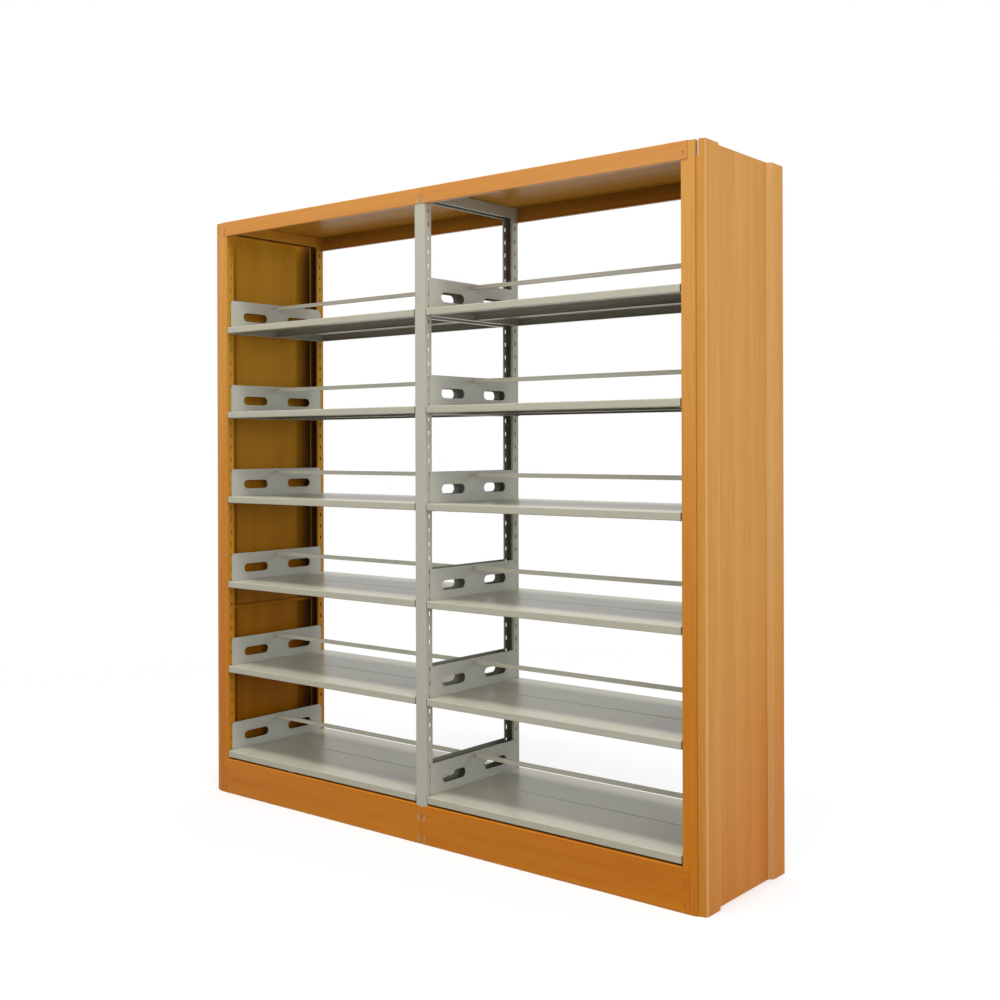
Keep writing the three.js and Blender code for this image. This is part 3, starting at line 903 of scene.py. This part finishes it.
def top_panel_mesh(size):
    face = size.y / 2
    lip = face - COVER_RETURN
    fall = size.z
    section = [
        complex(lip, -fall),
        complex(face, -fall),
        complex(face, 0),
        complex(-face, 0),
        complex(-face, -fall),
        complex(-lip, -fall),
    ]
    flats, _ = fold_plan(section, COVER_SHEET, FOLD_RADIUS)
    half = size.x / 2
    inner = half - COVER_POST_ROOM
    _, _, start, end = flats[FRONT_FASCIA]
    front = cover_face(start, end, half, inner, FASCIA_CORNER_RADIUS)
    rear = [complex(fall - point.real, -point.imag) for point in front]
    outlines = {REAR_FASCIA: rear, FRONT_FASCIA: front}
    for flat in (REAR_RETURN, FRONT_RETURN):
        _, _, start, end = flats[flat]
        outlines[flat] = rectangle(start, end, -inner, inner)
    rear_holes = hook_holes(half, [FASCIA_HOLE_RISE])
    holes = {REAR_FASCIA: rear_holes, FRONT_FASCIA: flipped(rear_holes, fall)}
    spans = {fold: (-inner, inner) for fold in (REAR_LIP_FOLD, FRONT_LIP_FOLD)}
    sheet = press(section, COVER_SHEET, FOLD_RADIUS, (-half, half), outlines, holes, spans)
    finishes = (FASCIA_GRAIN, FASCIA_INSIDE, TOP_GRAIN)
    return joined_mesh("top_panel", finishes, [turned(sheet, LENGTH_AXES)], upper_face_side)


top_panel = top_panel_mesh(size_of("top_panel_left"))
for bay in HANDS:
    node = f"top_panel_{bay}"
    low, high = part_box(node)
    middle = (low + high) / 2
    add_piece(f"{node}_sheet", top_panel, node, (middle.x, middle.y, high.z))


# %% Kick plates
TOP_RETURN, KICK_FACE, FOOT_RETURN = range(3)
KICK_FOLDS = range(2)


def kick_plate_mesh(size):
    section = rectangle(size.y, 0, size.z, 0)
    radii = [0, KICK_TOP_RADIUS, FOLD_RADIUS, 0]
    flats, _ = fold_plan(section, COVER_SHEET, radii)
    half = size.x / 2
    inner = half - COVER_POST_ROOM
    _, _, start, end = flats[KICK_FACE]
    rounded = cover_face(size.z - end, size.z - start, half, inner, KICK_CORNER_RADIUS)
    outline = [complex(size.z - point.real, -point.imag) for point in rounded[1:-1]]
    outline += [complex(end, along) for along in (-half, -inner, inner, half)]
    outlines = {KICK_FACE: outline}
    for flat in (TOP_RETURN, FOOT_RETURN):
        _, _, start, end = flats[flat]
        outlines[flat] = rectangle(start, end, -inner, inner)
    holes = {KICK_FACE: flipped(hook_holes(half, KICK_HOLE_RISES), size.z)}
    spans = {fold: (-inner, inner) for fold in KICK_FOLDS}
    sheet = press(section, COVER_SHEET, radii, (-half, half), outlines, holes, spans)
    return joined_mesh("kick_plate", (KICK_GRAIN, KICK_GRAIN), [turned(sheet, LENGTH_AXES)])


kick_plate = kick_plate_mesh(size_of("kick_plate_left_front"))
for bay in HANDS:
    for side in SIDES:
        node = f"kick_plate_{bay}_{side}"
        place = outward_place(node, side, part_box(node)[0].z)
        add_piece(f"{node}_sheet", kick_plate, node, place, side == "rear")

# %% [markdown]
# ## Shelf boards
# A board is a shallow pan, open below: the top turns down into a nosing at the front and a flange at the
# back, and both end in a lip that stiffens them. A small plate closes each end. The folds are rounder than
# on the posts, and the one along the nosing draws the bright line that runs along every shelf edge. One
# mesh serves all the boards, and a half turn makes a front board a rear one.

# %% Shelf boards
BOARD_SHEET = 1 * MM
BOARD_LIP = 13 * MM
BOARD_FOLD_RADIUS = 1.6 * MM
END_SETBACK = 0.05 * MM
RIGHT_CAP_AXES = ((0, 1, 0), (-1, 0, 0), (0, 0, 1))
LEFT_CAP_AXES = ((0, -1, 0), (1, 0, 0), (0, 0, 1))
QUARTER_TURNS = (-1j, 1, 1j, -1)
TIERS = range(1, 7)


def rounded_blank(low, high, radius):
    outline = []
    corners = (complex(high.real, low.imag), high, complex(low.real, high.imag), low)
    for corner, turn in zip(corners, QUARTER_TURNS):
        centre = corner - turn * complex(radius, radius)
        outline += [centre + turn * point for point in quarter_round(radius)]
    return outline


def board_mesh(size):
    section = [
        complex(size.y - BOARD_LIP, -size.z),
        complex(size.y, -size.z),
        complex(size.y, 0),
        complex(0, 0),
        complex(0, -size.z),
        complex(BOARD_LIP, -size.z),
    ]
    half = size.x / 2
    pan = press(section, BOARD_SHEET, BOARD_FOLD_RADIUS, (-half, half))
    low = complex(BOARD_SHEET, BOARD_SHEET - size.z)
    high = complex(size.y - BOARD_SHEET, -BOARD_SHEET)
    blank = rounded_blank(low, high, BOARD_FOLD_RADIUS)
    cap = press([0, complex(size.y)], BOARD_SHEET, 0, (0, 0), {0: blank})
    reach = half - END_SETBACK
    right_cap = turned(cap, RIGHT_CAP_AXES, (reach, 0, 0))
    left_cap = turned(cap, LEFT_CAP_AXES, (-reach, size.y, 0))
    sheets = [turned(pan, LENGTH_AXES), right_cap, left_cap]
    # The board's underside takes the painted shade grey.
    return joined_mesh("shelf_board", (GREY_BOARD, GREY_UNDER), sheets)


shelf_board = board_mesh(size_of("shelf_board_left_1_front"))
for bay in HANDS:
    for tier in TIERS:
        for side in SIDES:
            node = f"shelf_board_{bay}_{tier}_{side}"
            place = outward_place(node, side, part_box(node)[1].z)
            add_piece(f"{node}_pan", shelf_board, node, place, side == "rear")

# %% [markdown]
# ## Brackets and stop bars
# Each tier hangs on two brackets. A bracket is one plate as deep as both boards, with two hand-holes,
# rounded upper corners, a ledge folded under the boards and four hooks that drop behind the slots. A light
# channel between the two brackets keeps books on one side from pushing through to the other. The frame
# holds the two brackets and the bar as one node, and here they are three pieces again.

# %% Brackets
BRACKET_SHEET = 1.5 * MM
BRACKET_CORNER_RADIUS = 11 * MM
LEDGE_WIDTH = 18 * MM
HANDHOLE_LENGTH = 107 * MM
HANDHOLE_HEIGHT = 30 * MM
HANDHOLE_OFFSET = 100 * MM
HANDHOLE_DROP = 4 * MM
SLOTS_APART = 2
HOOK_GAP = 0.3 * MM
HOOK_NECK = 5 * MM
HOOK_DROP = 6 * MM
HOOK_BEHIND = 2 * HOOK_GAP + POST_SHEET
HOOK_REACH = HOOK_BEHIND + BRACKET_SHEET

low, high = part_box("shelf_carrier_left_1")
shelf_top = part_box("shelf_board_left_1_front")[1].z
bracket_low = low.z - shelf_top
bracket_high = high.z - shelf_top
bracket_half = (high.y - low.y) / 2


def hook_sheet(end, slot_rise):
    neck = slot_rise - SLOT_HEIGHT / 2 + HOOK_GAP
    outline = [
        complex(BRACKET_SHEET / 2, neck),
        complex(BRACKET_SHEET / 2, neck + HOOK_NECK),
        complex(-HOOK_REACH, neck + HOOK_NECK),
        complex(-HOOK_REACH, neck - HOOK_DROP),
        complex(-HOOK_BEHIND, neck - HOOK_DROP),
        complex(-HOOK_BEHIND, neck),
    ]
    section = [complex(-HOOK_REACH, 0), complex(BRACKET_SHEET / 2, 0)]
    blank = [complex(point.real + HOOK_REACH, point.imag) for point in reversed(outline)]
    sheet = press(section, BRACKET_SHEET, 0, (0, 0), {0: blank})
    middle = end * (bracket_half - BRACKET_SHEET)
    return turned(sheet, UPRIGHT_AXES, (0, middle - BRACKET_SHEET / 2, 0))


# The side of a bracket that looks at the post takes the painted shade grey.
def post_side(skin, normal):
    return int(skin == OUTER and normal.x < -FACING)


def bracket_mesh():
    section = [complex(0, bracket_high), complex(0, bracket_low), complex(LEDGE_WIDTH, bracket_low)]
    flats, _ = fold_plan(section, BRACKET_SHEET, FOLD_RADIUS)
    _, _, _, end = flats[0]
    radius = BRACKET_CORNER_RADIUS
    shoulder = complex(radius, bracket_half - radius)
    upper = [shoulder + point * 1j for point in quarter_round(radius)]
    lower = [point.conjugate() for point in reversed(upper)]
    outline = [complex(end, -bracket_half), complex(end, bracket_half)] + upper + lower
    slot_rises = (SHELF_BELOW_SLOT, SHELF_BELOW_SLOT + SLOTS_APART * SLOT_PITCH)
    middle = bracket_high - sum(slot_rises) / 2 + HANDHOLE_DROP
    middles = [complex(middle, side * HANDHOLE_OFFSET) for side in (-1, 1)]
    holes = [oblong(middle, HANDHOLE_HEIGHT, HANDHOLE_LENGTH) for middle in middles]
    span = (-bracket_half, bracket_half)
    plate = press(section, BRACKET_SHEET, FOLD_RADIUS, span, {0: outline}, {0: holes})
    hooks = [hook_sheet(side, rise) for side in (-1, 1) for rise in slot_rises]
    finishes = (GREY_BRACKET, GREY_INSIDE)
    return joined_mesh("shelf_bracket", finishes, [turned(plate, DEPTH_AXES), *hooks], post_side)


# %% Stop bars
BAR_HEIGHT = 13.5 * MM
BAR_WIDTH = 7 * MM
BAR_SHEET = 1 * MM
BAR_DROP = 5 * MM


def stop_bar_mesh(length):
    half = BAR_WIDTH / 2
    top = bracket_high - BAR_DROP
    foot = top - BAR_HEIGHT
    section = [complex(half, foot), complex(half, top), complex(-half, top), complex(-half, foot)]
    sheet = press(section, BAR_SHEET, FOLD_RADIUS, (-length / 2, length / 2))
    # The bar's inside takes the painted shade grey.
    return joined_mesh("stop_bar", (GREY_BAR, GREY_INSIDE), [turned(sheet, LENGTH_AXES)])


shelf_bracket = bracket_mesh()
plate_reach = size_of("shelf_carrier_left_1").x / 2 - HOOK_REACH
stop_bar = stop_bar_mesh(2 * (plate_reach - BRACKET_SHEET))
for bay in HANDS:
    for tier in TIERS:
        node = f"shelf_carrier_{bay}_{tier}"
        low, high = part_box(node)
        x = (low.x + high.x) / 2
        z = low.z - bracket_low
        bracket = f"bracket_{bay}_{tier}"
        add_piece(f"{bracket}_left", shelf_bracket, node, (x - plate_reach, 0, z))
        add_piece(f"{bracket}_right", shelf_bracket, node, (x + plate_reach, 0, z), True)
        add_piece(f"stop_bar_{bay}_{tier}", stop_bar, node, (x, 0, z))

# %% [markdown]
# ## Floor and light
# The unit stands on a plain white floor under soft light, as in a catalogue studio. Two long lamps hang
# over the front and the rear. Three weaker ones fill in from the front, from the side and from behind,
# where a cool one tints what faces away and is kept out of reflections. The floor and the sky show white to
# the camera and in reflections, while the light that they give the unit stays at a plain level. The floor
# keeps the shadow: its white glow is weaker near the unit and ends under it.

# %% Where the camera or a reflection looks
SEEN_RAYS = ("Is Camera Ray", "Is Glossy Ray", "Is Transmission Ray")


def seen_directly(paint):
    camera_ray, glossy_ray, clear_ray = [paint.node("LightPath", {}, {}, ray) for ray in SEEN_RAYS]
    return camera_ray + glossy_ray + clear_ray


# %% Floor
FLOOR_HALF = 40.0
FLOOR_GAP = 0.5 * MM
FLOOR_ROUGHNESS = 0.9
WHITE = (1, 1, 1, 1)
FLOOR_WHITE = (0.93, 0.93, 0.93, 1)
FLOOR_BOUNCE = (0.22, 0.215, 0.205, 1)
FOOTPRINT_X = (0.94, 1.04)
FOOTPRINT_Y = (0.19, 0.29)
SHADOW_REACH = (1.6, 4.0)
SHADOW_SHARE = 0.30


def pale_floor():
    paint = Paint(bpy.data.materials.new("pale_floor"))
    place = paint.place()
    seen = seen_directly(paint)
    colour = paint.mix(seen, FLOOR_BOUNCE, FLOOR_WHITE)
    paint.finish(Base_Color=colour, Roughness=FLOOR_ROUGHNESS)
    distance = paint.node("VectorMath", {"operation": "LENGTH"}, {0: place}, "Value")
    open_floor = paint.between(distance, *SHADOW_REACH)
    mirrored = paint.mirrored(place)
    beside = paint.between(paint.along("X", mirrored), *FOOTPRINT_X)
    before = paint.between(paint.along("Y", mirrored), *FOOTPRINT_Y)
    uncovered = 1 - (1 - beside) * (1 - before)
    whiteness = uncovered * (open_floor * SHADOW_SHARE + (1 - SHADOW_SHARE))
    white = paint.node("Emission", {}, {"Color": WHITE, "Strength": 1.0})
    lit = Wire(paint, paint.shader.outputs["BSDF"])
    mixed = paint.node("MixShader", {}, {0: seen * whiteness, 1: lit, 2: white})
    paint.plug(paint.tree.nodes["Material Output"].inputs["Surface"], mixed)
    return paint.holder


floor_mesh = bpy.data.meshes.new("floor")
floor_corners = [(x * FLOOR_HALF, y * FLOOR_HALF, 0) for x, y in ((-1, -1), (1, -1), (1, 1), (-1, 1))]
floor_mesh.from_pydata(floor_corners, [], [range(4)])
floor_mesh.materials.append(pale_floor())
floor = bpy.data.objects.new("floor", floor_mesh)
floor.location.z = cad_low.z - FLOOR_GAP
bpy.context.scene.collection.objects.link(floor)
floor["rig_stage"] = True
print("floor", 2 * FLOOR_HALF, "m wide")

# %% Sky
SKY_LEVEL = 0.40

sky = Paint(bpy.data.worlds.new("studio"))
sky.finish(Color=WHITE, Strength=seen_directly(sky) * (1 - SKY_LEVEL) + SKY_LEVEL)
bpy.context.scene.world = sky.holder
print("sky lights the unit at", SKY_LEVEL)

# %% Lamps
LAMP_AIM = Vector((0.0, 0.0, 1.0))
OVERHEAD_SIZE = (5.0, 0.8)
FRONT_FILL_SIZE = (3.0, 2.0)
FILL_SIZE = (2.5, 2.0)
NEUTRAL = (1, 1, 1)
COOL = (0.80, 0.90, 1.0)


def soft_lamp(name, place, size, watts, tint=NEUTRAL, mirrored=True):
    lamp = bpy.data.lights.new(name, "AREA")
    lamp.shape = "RECTANGLE"
    lamp.size, lamp.size_y = size
    lamp.energy = watts
    lamp.color = tint
    holder = bpy.data.objects.new(name, lamp)
    holder.location = place
    holder.rotation_euler = (LAMP_AIM - Vector(place)).to_track_quat("-Z", "Y").to_euler()
    holder.visible_camera = False
    holder.visible_glossy = mirrored
    bpy.context.scene.collection.objects.link(holder)
    print(name, watts, "W")


soft_lamp("overhead_front", place=(0.2, -1.5, 5.6), size=OVERHEAD_SIZE, watts=212)
soft_lamp("overhead_rear", place=(0.2, 1.5, 5.6), size=OVERHEAD_SIZE, watts=138)
soft_lamp("front_fill", place=(-1.1, -4.2, 2.5), size=FRONT_FILL_SIZE, watts=47)
soft_lamp("side_fill", place=(4.6, -1.8, 1.6), size=FILL_SIZE, watts=72)
soft_lamp("rear_fill", place=(3.0, 3.4, 1.8), size=FILL_SIZE, watts=42, tint=COOL, mirrored=False)
bpy.context.scene.view_settings.view_transform = "Standard"

# %% [markdown]
# ## Closing the lesson
# The painted pieces have to fill the same box as the frame they dress.

# %% Sizes and finish
bpy.context.view_layer.update()
low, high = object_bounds()
print("visual box", *[round(c, 4) for c in (*low, *high)])
